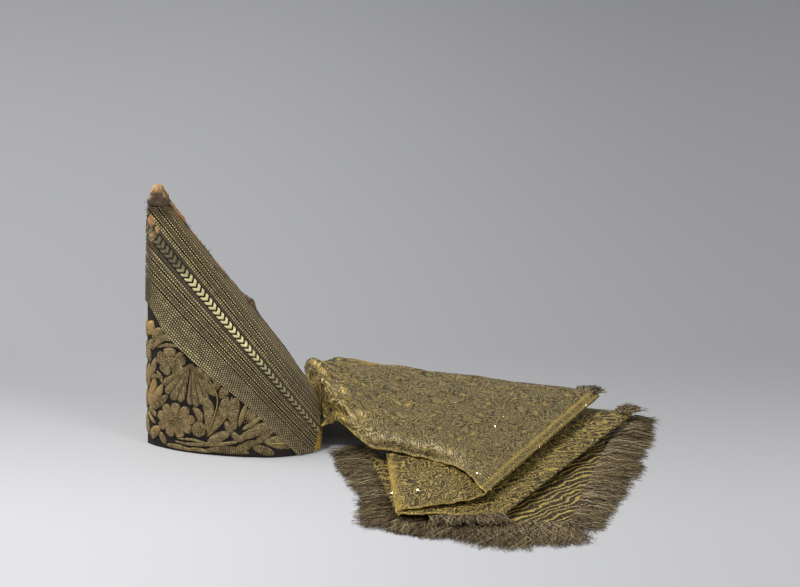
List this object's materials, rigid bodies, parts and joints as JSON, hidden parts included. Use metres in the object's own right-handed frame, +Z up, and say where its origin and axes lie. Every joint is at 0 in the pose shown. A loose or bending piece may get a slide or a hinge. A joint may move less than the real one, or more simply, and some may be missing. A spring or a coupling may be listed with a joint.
{
  "type": "hennin cone hat",
  "caption": "Stiff cone-shaped hat with an upright front, slanting gold braids, padded flower embroidery and a long fringed gold veil coming out of an arched cut at the rear of the rim.",
  "frame": {"origin": "on the table, under the middle of the part's bounding box; the hat stands at the -X side", "axes": "+X from the hat's upright front to its slanting rear and along the laid-out veil, +Y to the hat's far side, +Z up"},
  "size_m": [0.5528, 0.4912, 0.285],
  "materials": {
    "velvet": "near-black brown velvet over a stiff base, worn",
    "yellow_silk": "plain ochre silk lining",
    "worn_silk": "worn tan silk with frayed threads",
    "ribbed_brown": "finely ribbed brown metal-thread braid",
    "braid_gold": "raised beaded gold-thread braid, tarnished",
    "chevron_gold": "bright pale gold braid of V-shaped ribs",
    "padded_gold": "padded satin-stitch embroidery in dull gold thread",
    "veil_gold": "gold lame cloth with a dark scroll pattern",
    "fringe_brown": "dull brown metal-thread fringe"
  },
  "bodies": {
    "root": {"crown": "velvet", "lining": "yellow_silk", "tip_cap": "worn_silk", "back_seam": "worn_silk", "ribbed_band": "ribbed_brown", "braid_low_1": "braid_gold", "braid_low_2": "braid_gold", "braid_low_3": "braid_gold", "chevron_braid": "chevron_gold", "braid_high_1": "braid_gold", "braid_high_2": "braid_gold", "braid_high_3": "braid_gold", "flower_upper_near": "padded_gold", "flower_upper_far": "padded_gold", "flower_lower_near": "padded_gold", "flower_lower_far": "padded_gold", "shell_front_near": "padded_gold", "shell_front_far": "padded_gold", "shell_rear_near": "padded_gold", "shell_rear_far": "padded_gold", "feather_leaf_near": "padded_gold", "feather_leaf_far": "padded_gold", "long_leaf_near": "padded_gold", "long_leaf_far": "padded_gold", "tulip_near": "padded_gold", "tulip_far": "padded_gold", "leaf_low_near": "padded_gold", "leaf_low_far": "padded_gold", "leaf_rear_near": "padded_gold", "leaf_rear_far": "padded_gold", "berry_near": "padded_gold", "berry_far": "padded_gold", "bud_near": "padded_gold", "bud_far": "padded_gold", "front_leaf_near": "padded_gold", "front_leaf_far": "padded_gold", "veil": "veil_gold", "fringe_left": "fringe_brown", "fringe_front": "fringe_brown", "fringe_right": "fringe_brown", "fringe_middle": "fringe_brown", "tuft_middle": "fringe_brown", "tuft_top": "fringe_brown"}
  },
  "joints": []
}
